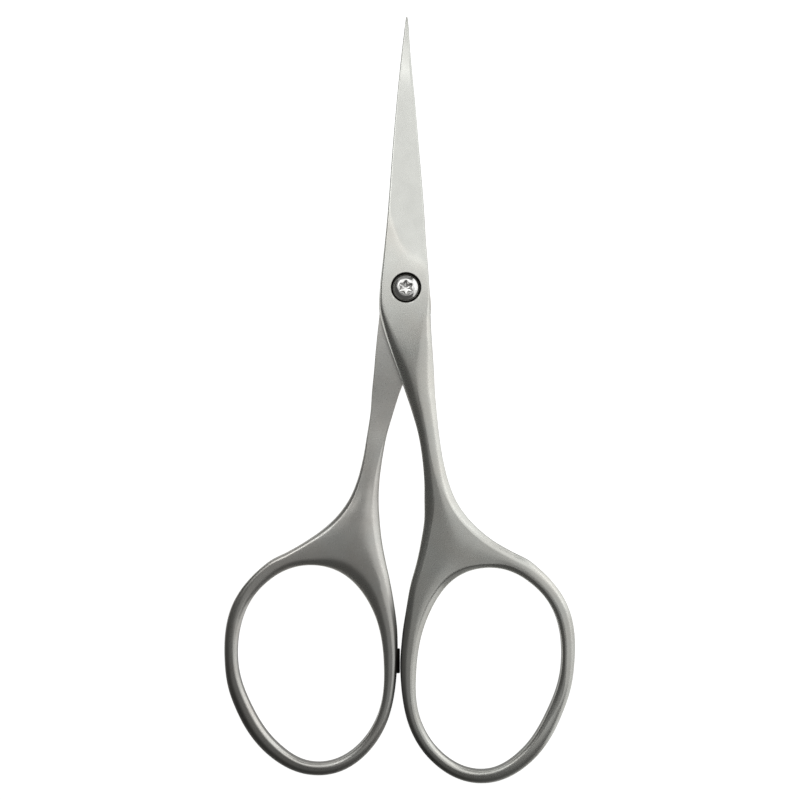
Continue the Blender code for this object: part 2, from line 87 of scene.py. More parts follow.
# Closed blades: a share of the blade's length from the pivot, then shares of the left and the
# right side
BLADE_SHARES = (
    (1.000, 0.004, 0.045),
    (0.967, 0.045, 0.094),
    (0.908, 0.121, 0.140),
    (0.841, 0.201, 0.200),
    (0.694, 0.352, 0.366),
    (0.509, 0.519, 0.553),
    (0.325, 0.663, 0.736),
    (0.250, 0.727, 0.794),
    (0.177, 0.803, 0.843),
    (0.096, 0.894, 0.919),
    (0.000, 1.000, 1.000),
    (-0.092, 1.019, 1.055),
)

# Shank: shares of the line from the pivot to the bow's middle, and of the shank's width across it,
# first for the side that faces the other handle and then for the outer side
UPPER_SHANK_SHARES = (
    (0.102, -0.609, 0.127, 0.302),
    (0.156, -0.563, 0.178, 0.244),
    (0.207, -0.507, 0.227, 0.187),
    (0.259, -0.459, 0.275, 0.123),
    (0.315, -0.412, 0.329, 0.069),
    (0.379, -0.385, 0.391, 0.018),
    (0.442, -0.413, 0.453, -0.010),
    (0.498, -0.471, 0.511, 0.004),
    (0.543, -0.544, 0.561, 0.068),
    (0.594, -0.633, 0.607, 0.205),
    (0.642, -0.773, 0.647, 0.393),
    (0.695, -0.955, 0.683, 0.618),
)
WEB_STATIONS = 5

# Finger holes: the upper and the lower half's radius at every 30 degrees from +x, as shares of an
# ellipse in the hole's box
HOLE_SHARES = (
    (0.977, 0.978),
    (1.038, 1.021),
    (1.008, 1.003),
    (0.993, 0.995),
    (0.998, 1.010),
    (0.971, 1.006),
    (0.982, 1.001),
    (1.062, 1.060),
    (1.051, 1.054),
    (1.008, 1.005),
    (0.929, 0.923),
    (0.901, 0.904),
)

# Steel around the hole: the angle, its width in the upper and in the lower half as shares of the
# band, and then the shares of that width that the outer face's roundings take, at the outer side
# and in the hole, and the mating face's two, so that the oval twists round the bow
BAND_SHARES = (
    (0, 0.90, 0.90, 0.50, 0.30, 0.62, 0.30),
    (30, 1.07, 1.03, 0.48, 0.28, 0.44, 0.40),
    (55, 1.16, 1.04, 0.44, 0.28, 0.26, 0.54),
    (76, 1.34, 1.15, 0.36, 0.26, 0.24, 0.48),
    (90, 1.28, 1.14, 0.30, 0.20, 0.22, 0.58),
    (124, 2.45, 2.45, 0.24, 0.16, 0.24, 0.58),
    (138, 2.06, 2.09, 0.24, 0.20, 0.30, 0.50),
    (150, 1.60, 1.54, 0.34, 0.28, 0.34, 0.46),
    (165, 1.30, 1.18, 0.48, 0.30, 0.36, 0.52),
    (180, 1.16, 0.97, 0.54, 0.34, 0.34, 0.56),
    (200, 0.94, 0.79, 0.52, 0.36, 0.36, 0.56),
    (225, 0.89, 0.80, 0.54, 0.36, 0.42, 0.50),
    (250, 0.88, 0.84, 0.58, 0.32, 0.56, 0.36),
    (270, 0.88, 0.83, 0.66, 0.24, 0.66, 0.26),
    (300, 1.01, 1.01, 0.68, 0.24, 0.66, 0.26),
    (325, 1.03, 1.07, 0.62, 0.30, 0.66, 0.26),
    (345, 0.95, 1.01, 0.44, 0.48, 0.66, 0.26),
)
# The web meets the bow between two gates, and the paths of the half's sides run on past their gates,
# through a point at each lap round the bow
WEB_START_ANGLE = 76
WEB_END_ANGLE = 138
GATE_LAP = 12
WEB_ANGLES = np.linspace(WEB_END_ANGLE, WEB_START_ANGLE, FACE_CELLS + 1)
FREE_ANGLES = np.linspace(WEB_END_ANGLE, WEB_START_ANGLE + 360, BOW_COLUMNS - FACE_CELLS + 1)

# Painted shade on the bow's outer side, for its shadowed steep walls: the angle, then the upper and
# the lower half's cover. It fades in on the rounding, between two shares of the way from the crest
# to the wall.
PAINTED_SHADE_SHARES = (
    (0, 0.0, 0.5),
    (45, 0.0, 0.0),
    (138, 0.0, 0.0),
    (158, 0.1, 0.8),
    (180, 0.2, 1.0),
    (202, 0.5, 0.8),
    (225, 0.8, 0.4),
    (250, 0.6, 0.5),
    (285, 0.0, 0.6),
    (330, 0.0, 0.7),
)
PAINTED_SHADE_FADE_SHARES = (0.2, 0.4)

# Heights along a half. A place is a share of the blade's length above the pivot and, below it,
# minus a share of the line to the bow's middle. First the ground blade: shares of the spine's and
# of the cutting edge's height, and where the grinding wheel ran out, edge, middle and spine.
GROUND_SHARES = (
    (0.00, 1.16, 3.60),
    (0.12, 1.14, 2.90),
    (0.28, 1.10, 1.90),
    (0.60, 0.74, 0.95),
    (0.90, 0.40, 0.56),
    (1.00, 0.24, 0.42),
)
RUNOUT_SHARES = (0.085, 0.140, 0.280)
# Then the shank: how far the outer face stands between the bow's height and the joint's, and how
# far the mating face has come from the mating plane to the bow's other face
FACE_SHARES = (
    (-0.76, 0.00, 1.00),
    (-0.70, 0.00, 0.98),
    (-0.62, -0.02, 0.87),
    (-0.52, -0.20, 0.60),
    (-0.42, -0.25, 0.30),
    (-0.34, 0.00, 0.07),
    (-0.28, 0.35, 0.00),
    (-0.20, 0.82, 0.00),
    (-0.13, 1.00, 0.00),
    (0.00, 1.00, 0.00),
)
# And the roundings, as shares of the width there: the outer face's at its spine and edge sides,
# the mating face's two, and how much deeper than wide they are on the blade. Below the joint they
# take the bow's shape, and along the web its widths too.
ROUND_SHARES = (
    (-0.70, 0.100, 0.080, 0.150, 0.060, 1.00),
    (-0.62, 0.180, 0.160, 0.180, 0.080, 1.00),
    (-0.55, 0.340, 0.240, 0.230, 0.110, 1.00),
    (-0.50, 0.380, 0.380, 0.220, 0.120, 1.00),
    (-0.44, 0.380, 0.520, 0.140, 0.100, 1.00),
    (-0.38, 0.370, 0.570, 0.070, 0.060, 1.00),
    (-0.32, 0.370, 0.570, 0.040, 0.040, 1.00),
    (-0.26, 0.360, 0.540, 0.030, 0.030, 1.00),
    (-0.21, 0.330, 0.480, 0.022, 0.022, 1.00),
    (-0.15, 0.240, 0.320, 0.020, 0.020, 1.00),
    (-0.05, 0.090, 0.080, 0.015, 0.015, 1.00),
    (0.00, 0.060, 0.030, 0.015, 0.015, 1.00),
    (0.30, 0.050, 0.050, 0.010, 0.006, 0.80),
    (0.70, 0.070, 0.090, 0.020, 0.010, 0.80),
    (1.00, 0.300, 0.300, 0.050, 0.030, 0.80),
)
# How much of the steel's depth one of the blade's roundings may take and how full it is, then where
# the bow's shape begins and is reached, and how much farther down that happens on the mating face
BODY_SHARE = 0.42
BLADE_FULLNESS = 1.1
BOW_SHAPE_SHARES = (-0.12, -0.28)
MATING_SHAPE_SHARE = -0.24
# The bow's roundings fall away gently from a crest, ever steeper, and turn into the wall in a tight
# edge. A narrow one grows steep at once and a wide one late; one of an even share grows steadily, as
# the narrow ones at the bow's outer side do too. Between its crests a face is crowned.
CREST_TILT = math.radians(6.5)
EDGE_TILT = math.radians(42)
EDGE_RADIUS = 0.00014
EVEN_SHARE = 0.4
# How far to both sides a direction is read: along a path and next to a gate, in stations, and round
# the bow's hole and its outer side, in degrees
PATH_STEP = 0.1
GATE_STEP = 0.5
HOLE_STEP = 1
OUTER_STEP = 2


def between(start, end, part):
    return start + (end - start) * part


def smooth_step(part):
    part = min(max(part, 0), 1)
    return part * part * (3 - 2 * part)


def curve_through(knots, values, steady=False):
    """A smooth curve through values at rising knots. A steady one never swings past a value."""
    knots = np.array(knots, dtype=float)
    values = np.array(values, dtype=float)
    spans = np.diff(knots).reshape((-1,) + (1,) * (values.ndim - 1))
    if steady:
        rise = np.diff(values, axis=0) / spans
        total = rise[1:] + rise[:-1]
        same_way = rise[1:] * rise[:-1] > 0
        mean = 2 * rise[1:] * rise[:-1] / np.where(same_way, total, 1)
        slopes = np.concatenate((rise[:1], np.where(same_way, mean, 0), rise[-1:]))
    else:
        slopes = np.gradient(values, knots, axis=0)

    def value_at(knot):
        first = int(np.clip(np.searchsorted(knots, knot) - 1, 0, len(knots) - 2))
        part = (knot - knots[first]) / (knots[first + 1] - knots[first])
        start = (1 + 2 * part) * (1 - part) ** 2 * values[first]
        end = part * part * (3 - 2 * part) * values[first + 1]
        leave = part * (1 - part) ** 2 * spans[first] * slopes[first]
        arrive = part * part * (part - 1) * spans[first] * slopes[first + 1]
        return start + end + leave + arrive

    return value_at


def table_curve(shares, steady=False):
    """A smooth curve through a table whose first column is the place."""
    rows = sorted(shares)
    return curve_through([row[0] for row in rows], [row[1:] for row in rows], steady)


def path_through(points):
    """A smooth path through points in the plane, read by their running number."""
    points = np.array(points, dtype=float)
    chords = np.linalg.norm(np.diff(points, axis=0), axis=1)
    knots = np.concatenate(([0.0], np.cumsum(chords)))
    path = curve_through(knots, points)

    def point_at(number):
        return path(float(np.interp(number, range(len(knots)), knots)))

    return point_at


ground_at = table_curve(GROUND_SHARES, steady=True)
faces_at = table_curve(FACE_SHARES, steady=True)
rounds_at = table_curve(ROUND_SHARES, steady=True)
runout_at = curve_through((0, 0.5, 1), RUNOUT_SHARES[::-1])

# Round the bow the tables start again after a full turn
FULL_TURN = 360
laps = (-FULL_TURN, 0, FULL_TURN)
mark_angle = FULL_TURN / len(HOLE_SHARES)
hole_marks = range(-2, len(HOLE_SHARES) + 3)
hole_radius_at = curve_through([mark_angle * mark for mark in hole_marks],
                               [HOLE_SHARES[mark % len(HOLE_SHARES)] for mark in hole_marks])
band_at = table_curve([(row[0] + lap, *row[1:]) for lap in laps for row in BAND_SHARES])
painted_shade_at = table_curve([(row[0] + lap, *row[1:]) for lap in laps for row in PAINTED_SHADE_SHARES],
                       steady=True)


def left_of(before, after):
    """The unit direction to the left of the way from one point to another."""
    way = after - before
    return np.array((-way[1], way[0])) / np.linalg.norm(way)


def blade_rounding(part, width, height):
    """How far in and down a part of a blade's rounding is: nearly a quarter of an ellipse."""
    turn = math.pi / 2 * part
    inset = width * (1 - math.sin(turn) ** BLADE_FULLNESS)
    drop = height * (1 - max(math.cos(turn), 0) ** BLADE_FULLNESS)
    return np.array((inset, drop))


def bow_rounding(part, width, share):
    """The same for a bow's: a slope that grows steeper from the crest, then a tight edge."""
    bend = (share / EVEN_SHARE) ** 2
    crest_slope, edge_slope = math.tan(CREST_TILT), math.tan(EDGE_TILT)
    slope_width = width - EDGE_RADIUS * (1 - math.sin(EDGE_TILT))
    run = min(part / SLOPE_SHARE, 1)
    steepening = (edge_slope - crest_slope) * run ** (bend + 1) / (bend + 1)
    drop = slope_width * (crest_slope * run + steepening)
    tilt = between(EDGE_TILT, math.pi / 2, max(part - SLOPE_SHARE, 0) / (1 - SLOPE_SHARE))
    inset = slope_width * (1 - run) + EDGE_RADIUS * (1 - math.sin(tilt))
    return np.array((inset, drop + EDGE_RADIUS * (math.cos(EDGE_TILT) - math.cos(tilt))))


def rim(outline, inward, levels, sizes, bow_share):
    """Points round one side of the steel, from the outer face's edge to the mating face's edge."""
    points = []
    for face, way, order in ((0, -1, 1), (1, 1, -1)):
        width, height, share = sizes[face]
        quarter = []
        for step in range(ROUND_STEPS + 1):
            part = step / ROUND_STEPS
            blade = blade_rounding(part, width, height)
            inset, drop = between(blade, bow_rounding(part, width, share), bow_share)
            quarter.append((*(outline + inward * inset), levels[face] + way * drop))
        points += quarter[::order]
    return points


def bow_shape(place):
    """How far a half's section has come to the bow's shape, below the joint."""
    start, end = BOW_SHAPE_SHARES
    return smooth_step((place - start) / (end - start))


def distance_to(line, points):
    """How far points lie, seen from above, from a line of short straight pieces."""
    line = np.array(line)[:, :2]
    spans = np.diff(line, axis=0)
    offsets = np.array(points)[:, None, :2] - line[:-1]
    parts = np.clip((offsets * spans).sum(2) / (spans * spans).sum(1), 0, 1)
    return np.linalg.norm(offsets - parts[:, :, None] * spans, axis=2).min(1)


# What counts as no distance, because a point of the face may lie on its side
NO_DISTANCE = 1e-9


def crown(distances):
    """The height of a face that rises from each of its sides at the crest's tilt."""
    near = np.maximum(distances, NO_DISTANCE)
    return math.tan(CREST_TILT) / np.sqrt((1 / near ** 2).sum(0))


class Forging:
    """One half of the scissors: its outlines in the plane and its heights."""

    def __init__(self, side, spine_side, edge_side, cover, shank_length, shank_shares, hole_length):
        self.hole_size = (HOLE_WIDTH / 2, hole_length / 2)
        self.half = 0 if side > 0 else 1
        offset = side * BOW_SEAM + BOW_GAP / 2 + BOW_BAND + HOLE_WIDTH / 2
        self.centre = np.array((offset, -shank_length))
        reach = np.linalg.norm(self.centre)
        along = self.centre / reach
        across = np.array((-along[1], along[0]))
        spine_column, edge_column = (1, 2) if side > 0 else (2, 1)
        spine_points = []
        edge_points = []
        self.places = []
        for row in BLADE_SHARES:
            spine = row[spine_column] * spine_side + cover
            edge = row[edge_column] * edge_side
            spine_points.append((-spine, row[0] * BLADE_LENGTH))
            edge_points.append((edge, row[0] * BLADE_LENGTH))
            self.places.append(row[0] if row[0] >= 0 else row[0] * BLADE_LENGTH / reach)
        for row in shank_shares:
            spine_points.append(along * row[0] * reach + across * row[1] * SHANK_WIDTH)
            edge_points.append(along * row[2] * reach + across * row[3] * SHANK_WIDTH)
            self.places.append(-(row[0] + row[2]) / 2)
        self.stations = len(spine_points)
        self.web_start = self.stations - WEB_STATIONS
        self.places.append(FACE_SHARES[0][0])
        for lap in (0, GATE_LAP, 2 * GATE_LAP):
            spine_points.append(self.bow_outline(WEB_END_ANGLE + lap))
            edge_points.append(self.bow_outline(WEB_START_ANGLE - lap))
        self.spine_path = path_through(spine_points)
        self.edge_path = path_through(edge_points)

    def hole(self, angle):
        """A point of the finger hole's outline."""
        around = math.radians(angle)
        share = hole_radius_at(angle % FULL_TURN)[self.half]
        width, length = self.hole_size
        return self.centre + share * np.array((width * math.cos(around), length * math.sin(around)))

    def outward(self, angle):
        return -left_of(self.hole(angle - HOLE_STEP), self.hole(angle + HOLE_STEP))

    def band(self, angle):
        """The width of the steel round the hole, and its roundings on the outer and mating face."""
        column = band_at(angle % FULL_TURN)
        return column[self.half] * BOW_BAND, column[2:4], column[4:6]

    def bow_outline(self, angle):
        return self.hole(angle) + self.outward(angle) * self.band(angle)[0]

    def face_levels(self, place, part):
        """Heights of the outer and the mating face, from the spine side to the edge side."""
        joint, risen = faces_at(min(place, 0))
        outer = between(BOW_DEPTH / 2, JOINT_THICKNESS, joint)
        mating = -BOW_DEPTH / 2 * risen
        if place > 0:
            spine, edge = ground_at(place)
            ground = between(spine * SPINE_HEIGHT, edge * EDGE_HEIGHT, part)
            outer = between(outer, min(ground, outer), self.ground_down(place, part))
            hollow = HOLLOW_DEPTH * between(1, HOLLOW_TIP_SHARE, place) * 4 * part * (1 - part)
            mating = hollow * smooth_step(place / RUNOUT_SHARES[0])
        return outer, mating

    def ground_share(self, place, part):
        """How far a point of the outer face lies in the ground part of the blade."""
        return smooth_step((place - runout_at(part)) * BLADE_LENGTH / GRIND_LINE + 1 / 2)

    def ground_down(self, place, part):
        """How much of the grind's depth is reached: a soft line, then the wheel's hollow curve."""
        past = (place - runout_at(part)) * BLADE_LENGTH
        past = (past + math.hypot(past, GRIND_LINE / 2)) / 2
        return 1 - (1 - min(past / between(*RUNOUT_LENGTHS, part), 1)) ** 2

    def trunk_rims(self, number):
        """The rims at both sides of the blade or shank, at a place counted in stations."""
        place = float(np.interp(number, range(len(self.places)), self.places))
        rounds = rounds_at(place)
        before = max(number - PATH_STEP, 0)
        web = smooth_step((number - self.web_start) / WEB_STATIONS)
        bow_share = bow_shape(place)
        ends = (self.spine_path(number), self.edge_path(number))
        width = np.linalg.norm(ends[1] - ends[0])
        rims = []
        for part, path, turn in ((0, self.spine_path, 1), (1, self.edge_path, -1)):
            inward = turn * left_of(path(before), path(number + PATH_STEP))
            levels = self.face_levels(place, part)
            body = (levels[0] - levels[1]) * BODY_SHARE
            gates = self.bow_roundings((WEB_END_ANGLE, WEB_START_ANGLE)[part], False)
            sizes = []
            for face, gate in enumerate(gates):
                share = rounds[2 * face + part]
                size = share * width
                height = min(size * rounds[4], body)
                sizes.append((between(size, gate[0], web), height, between(share, gate[2], web)))
            rims.append(rim(ends[part], inward, levels, sizes, bow_share))
        return place, rims

    def bow_roundings(self, angle, in_hole):
        """The bow's roundings on its outer and its mating face: widths, no height and shares."""
        width, *faces = self.band(angle)
        least = 0 if in_hole else EVEN_SHARE
        shares = [face[int(in_hole)] for face in faces]
        return [(share * width, 0, max(share, least)) for share in shares]

    def bow_rim(self, angle, in_hole):
        """The rim of the finger bow, in its hole or at its outer side."""
        past_end = (angle - WEB_END_ANGLE) % FULL_TURN
        past_start = (WEB_START_ANGLE - angle) % FULL_TURN
        if in_hole:
            outline = self.hole(angle)
            inward = self.outward(angle)
        elif min(past_end, past_start) < GATE_LAP:
            # Next to the web's gates the outline still runs on the half's own smooth paths
            path, turn = (self.spine_path, 1) if past_end < past_start else (self.edge_path, -1)
            number = self.stations + min(past_end, past_start) / GATE_LAP
            outline = path(number)
            inward = turn * left_of(path(number - GATE_STEP), path(number + GATE_STEP))
        else:
            outline = self.bow_outline(angle)
            before = self.bow_outline(angle - OUTER_STEP)
            inward = left_of(before, self.bow_outline(angle + OUTER_STEP))
        sizes = self.bow_roundings(angle, in_hole)
        return rim(outline, inward, (BOW_DEPTH / 2, -BOW_DEPTH / 2), sizes, 1)

    def rim_painted_shade(self, angle):
        """How much painted shade lies on each point of a bow's outer rim."""
        start, end = PAINTED_SHADE_FADE_SHARES
        cover = float(painted_shade_at(angle % FULL_TURN)[self.half])
        quarter = [cover * smooth_step((step / ROUND_STEPS - start) / (end - start))
                   for step in range(ROUND_STEPS + 1)]
        return quarter + quarter[::-1]

    def web_arc(self, face, gates):
        """The row of points where the web's face meets the bow's, from gate to gate."""
        level = (BOW_DEPTH / 2, -BOW_DEPTH / 2)[face]
        arc = []
        for angle in WEB_ANGLES:
            width, *faces = self.band(angle)
            crest = width * (1 - faces[face][0])
            arc.append((*(self.hole(angle) + self.outward(angle) * crest), level))
        arc[0] = gates[0][-face]
        arc[-1] = gates[1][-face]
        return np.array(arc)

    def trunk(self):
        """Rows from the tip to the bow: the rims at both sides and the two faces between them."""
        gates = (self.bow_rim(WEB_END_ANGLE, False), self.bow_rim(WEB_START_ANGLE, False))
        arcs = [self.web_arc(face, gates) for face in (0, 1)]
        parts = np.linspace(0, 1, FACE_CELLS + 1).reshape(-1, 1)
        neck = None
        rows = []
        for count in range(self.stations * ROWS_PER_STATION):
            number = count / ROWS_PER_STATION
            place, rims = self.trunk_rims(number)
            faces = [between(np.array(rims[0][-face]), np.array(rims[1][-face]), parts)
                     for face in (0, 1)]
            ground = [self.ground_share(place, part) for part in parts[:, 0]]
            if place > 0:
                levels = [self.face_levels(place, part) for part in parts[:, 0]]
                for face in (0, 1):
                    faces[face][:, 2] = [level[face] for level in levels]
            if number == self.web_start:
                neck = faces
            if number > self.web_start:
                # Between the neck and the bow the straight rows bend into the bow's arc
                run = (number - self.web_start) / WEB_STATIONS
                for face in (0, 1):
                    ruled = between(neck[face], arcs[face], run)
                    faces[face] += ruled - between(ruled[0], ruled[-1], parts)
            rows.append((rims, faces, ground, place))
        rows.append((gates, arcs, [0] * (FACE_CELLS + 1), FACE_SHARES[0][0]))
        # Below the joint the faces are crowned between the crest lines round them
        self.crests = []
        for face in (0, 1):
            spine_crest = [faces[face][0] for rims, faces, ground, place in rows]
            edge_crest = [faces[face][-1] for rims, faces, ground, place in rows]
            hole_crest = [self.bow_rim(angle, True)[-face] for angle in WEB_ANGLES]
            self.crests.append((spine_crest, edge_crest, hole_crest))
        for rims, faces, ground, place in rows:
            for face, way in ((0, 1), (1, -1)):
                share = bow_shape(place if face == 0 else place - MATING_SHAPE_SHARE)
                if share > 0:
                    faces[face][:, 2] += way * share * self.web_crown(face, faces[face])
        return [row[:3] for row in rows]

    def web_crown(self, face, points):
        """How high the crowned face stands over its crests, at points in the web or the shank."""
        return crown([distance_to(line, points) for line in self.crests[face]])

    def band_rows(self, face, hole_end, outer_end, in_web):
        """The points across the bow's steel, between the crest in the hole and the outer one."""
        ends = (np.array(hole_end), np.array(outer_end))
        parts = np.arange(1, BAND_CELLS).reshape(-1, 1) / BAND_CELLS
        level = ends[0][2]
        points = between(*ends, parts)
        if in_web:
            rise = self.web_crown(face, points)
        else:
            width = np.linalg.norm(ends[1] - ends[0])
            rise = crown([width * parts[:, 0], width * (1 - parts[:, 0])])
        points[:, 2] = level + (1, -1)[face] * rise
        return points

    def mesh(self):
        """The half as one closed mesh in its own frame, with the ground part and the painted shade
        marked.
        """
        mesh = bmesh.new()
        # A new layer makes the handles of older ones stale, so they are fetched at the end
        # The scale layer marks where shade is painted on the bows' walls
        for name in ("ground", "scale"):
            mesh.verts.layers.float.new(name)
        marks = {name: mesh.verts.layers.float[name] for name in ("ground", "scale")}

        def vertices(points, mark="ground", shares=0):
            made = [mesh.verts.new(point) for point in points]
            for number, vertex in enumerate(made):
                vertex[marks[mark]] = shares[number] if isinstance(shares, list) else shares
            return made

        def skin(first, second):
            for one in range(len(first) - 1):
                mesh.faces.new((first[one], first[one + 1], second[one + 1], second[one]))

        loops = []
        for rims, faces, ground in self.trunk():
            outer = vertices(faces[0], "ground", ground)
            mating = vertices(faces[1], "ground", ground)
            spine = [outer[0]] + vertices(rims[0][1:-1], "ground", ground[0]) + [mating[0]]
            edge = [outer[-1]] + vertices(rims[1][1:-1], "ground", ground[-1]) + [mating[-1]]
            loops.append((outer, mating, spine, edge))
        for one, two in zip(loops, loops[1:]):
            for first, second in zip(one, two):
                skin(first, second)
        outer, mating, spine, edge = loops[0]
        skin(outer, mating)
        mesh.faces.new(spine)
        mesh.faces.new(edge)

        # The free part of the bow has both rims, and the web's part only the one in the hole
        outer, mating, spine, edge = loops[-1]
        # The outer rims carry the painted shade of the bows' walls
        outers = [vertices(self.bow_rim(angle, False), "scale", self.rim_painted_shade(angle))
                  for angle in FREE_ANGLES[1:-1]]
        outers = [spine] + outers + [edge]
        for first, second in zip(outers, outers[1:]):
            skin(first, second)
        columns = []
        for number, angle in enumerate([*FREE_ANGLES, *WEB_ANGLES[-2:0:-1]]):
            hole = vertices(self.bow_rim(angle, True))
            in_web = number >= len(outers)
            cell = FACE_CELLS - 1 - (number - len(outers))
            column = [hole]
            for face in (0, 1):
                outer_end = (outer, mating)[face][cell] if in_web else outers[number][-face]
                points = self.band_rows(face, hole[-face].co, outer_end.co, in_web)
                column.append([hole[-face]] + vertices(points) + [outer_end])
            columns.append(column)
        for one, two in zip(columns, columns[1:] + columns[:1]):
            for first, second in zip(one, two):
                skin(first, second)
        bmesh.ops.recalc_face_normals(mesh, faces=mesh.faces)
        return mesh


SHARP_ANGLE = math.radians(35)


def add_piece(name, mesh, material):
    """An object from a mesh in world coordinates, with its origin on the pivot's axis."""
    data = bpy.data.meshes.new(name)
    mesh.to_mesh(data)
    mesh.free()
    data.materials.append(material)
    piece = bpy.data.objects.new(name, data)
    bpy.context.collection.objects.link(piece)
    return piece


def finish_shape(piece, cuts):
    """Cut or join shapes into a piece, then shade it smooth up to its sharp edges."""
    tools = []
    for shape, operation in cuts:
        tool = add_piece(piece.name + "_tool", shape, piece.data.materials[0])
        modifier = piece.modifiers.new("cut", "BOOLEAN")
        modifier.operation = operation
        modifier.solver = "EXACT"
        modifier.object = tool
        tools.append(tool)
    bpy.context.view_layer.update()
    shaped = piece.evaluated_get(bpy.context.evaluated_depsgraph_get())
    data = bpy.data.meshes.new_from_object(shaped)
    piece.modifiers.clear()
    piece.data = data
    for tool in tools:
        bpy.data.objects.remove(tool)
    data.shade_smooth()
    data.set_sharp_from_angle(angle=SHARP_ANGLE)


# Turned shapes of the joint
HEAD_DIAMETER = 0.00315
HEAD_GAP = 0.0002
HEAD_SINK = 0.0008
SHOULDER_DIAMETER = 0.0022
RUNNING_GAP = 0.00003
CUT_OVERRUN = 0.001
RIM_BREAK = 0.00005
WELD_DISTANCE = RIM_BREAK / 100
TURN_STEPS = 128

mating_plane = JOINT_THICKNESS
upper_plane = mating_plane + MATING_GAP
joint_top = upper_plane + JOINT_THICKNESS
head_seat = joint_top - HEAD_SINK
head_radius = HEAD_DIAMETER / 2
shoulder_radius = SHOULDER_DIAMETER / 2


def turned(profile):
    """A mesh turned round the pivot's axis from radius and height, bottom to top."""
    mesh = bmesh.new()
    points = [mesh.verts.new((radius, 0, height)) for radius, height in profile]
    edges = [mesh.edges.new(pair) for pair in zip(points, points[1:])]
    bmesh.ops.spin(mesh, geom=points + edges, axis=(0, 0, 1), cent=(0, 0, 0), angle=math.tau,
                   steps=TURN_STEPS, use_merge=True)
    bmesh.ops.remove_doubles(mesh, verts=mesh.verts, dist=WELD_DISTANCE)
    bmesh.ops.recalc_face_normals(mesh, faces=mesh.faces)
    return mesh


# Satin finish: the tumbled steel's fine grain, soft blotches and faint brown tarnish, the grinding
# wheel's lines on the blade, and painted shade: shadow round the screw head, on the bows' walls and
# over the stop. A noise field runs between its own bounds and is spread over those of the tone or
# the roughness.
BLOTCHES_PER_METRE = 700
TARNISH_PER_METRE = 260
GRAINS_PER_METRE = 9000
LINES_PER_METRE = (400, 14000, 400)
FIELD_BOUNDS = (0.3, 0.7)
SHADE_BOUNDS = (0.97, 1.03)
ROUGHNESS_BOUNDS = (0.92, 1.08)
TARNISH = (0.99, 0.96, 0.945)
# Painted shade: the colour and roughness laid where shade is painted
PAINTED_SHADE_COLOUR = (0.015, 0.014, 0.012, 1)
PAINTED_SHADE_ROUGHNESS = 0.5
GRAIN_HEIGHT = 0.0000008
EDGE_TINT = 0.2


def sockets(tree, way, kind, *names):
    for name in names:
        tree.interface.new_socket(name, in_out=way, socket_type=kind)


def add_node(tree, kind, **settings):
    node = tree.nodes.new(kind)
    for name, value in settings.items():
        setattr(node, name, value)
    return node


def noise_field(tree, vector, scale=1, detail=2):
    noise = add_node(tree, "ShaderNodeTexNoise")
    noise.inputs["Scale"].default_value = scale
    noise.inputs["Detail"].default_value = detail
    tree.links.new(vector, noise.inputs["Vector"])
    return noise.outputs["Fac"]


def spread(tree, value, low, high):
    """A noise field around one half, mapped to run from low to high."""
    node = add_node(tree, "ShaderNodeMapRange")
    node.inputs["From Min"].default_value, node.inputs["From Max"].default_value = FIELD_BOUNDS
    node.inputs["To Min"].default_value = low
    node.inputs["To Max"].default_value = high
    tree.links.new(value, node.inputs["Value"])
    return node.outputs["Result"]


def mixed(tree, share, first, second, kind="FLOAT"):
    """A mix of two values or colours, each of them a socket or fixed."""
    node = add_node(tree, "ShaderNodeMix", data_type=kind)
    first_input, second_input, output = {"FLOAT": (2, 3, 0), "RGBA": (6, 7, 2)}[kind]
    tree.links.new(share, node.inputs[0])
    for number, value in ((first_input, first), (second_input, second)):
        if isinstance(value, bpy.types.NodeSocket):
            tree.links.new(value, node.inputs[number])
        else:
            node.inputs[number].default_value = value
    return node.outputs[output]


def patch_group():
    """A patch of painted shade round a centre. Its reaches are given as their inverses, so that 0 has
    no end.
    """
    tree = bpy.data.node_groups.new("painted_shade_patch", "ShaderNodeTree")
    sockets(tree, "INPUT", "NodeSocketVector", "Centre", "Inverse Reach")
    sockets(tree, "INPUT", "NodeSocketFloat", "Inner Share")
    sockets(tree, "OUTPUT", "NodeSocketFloat", "Mask")
    given = add_node(tree, "NodeGroupInput").outputs
    offset = add_node(tree, "ShaderNodeVectorMath", operation="SUBTRACT")
    tree.links.new(add_node(tree, "ShaderNodeTexCoord").outputs["Object"], offset.inputs[0])
    tree.links.new(given["Centre"], offset.inputs[1])
    reached = add_node(tree, "ShaderNodeVectorMath", operation="MULTIPLY")
    tree.links.new(offset.outputs["Vector"], reached.inputs[0])
    tree.links.new(given["Inverse Reach"], reached.inputs[1])
    length = add_node(tree, "ShaderNodeVectorMath", operation="LENGTH")
    tree.links.new(reached.outputs["Vector"], length.inputs[0])
    fade = add_node(tree, "ShaderNodeMapRange", interpolation_type="SMOOTHSTEP")
    fade.inputs["From Min"].default_value = 1
    fade.inputs["To Min"].default_value = 0
    fade.inputs["To Max"].default_value = 1
    tree.links.new(given["Inner Share"], fade.inputs["From Max"])
    tree.links.new(length.outputs["Value"], fade.inputs["Value"])
    tree.links.new(fade.outputs["Result"], add_node(tree, "NodeGroupOutput").inputs["Mask"])
    return tree


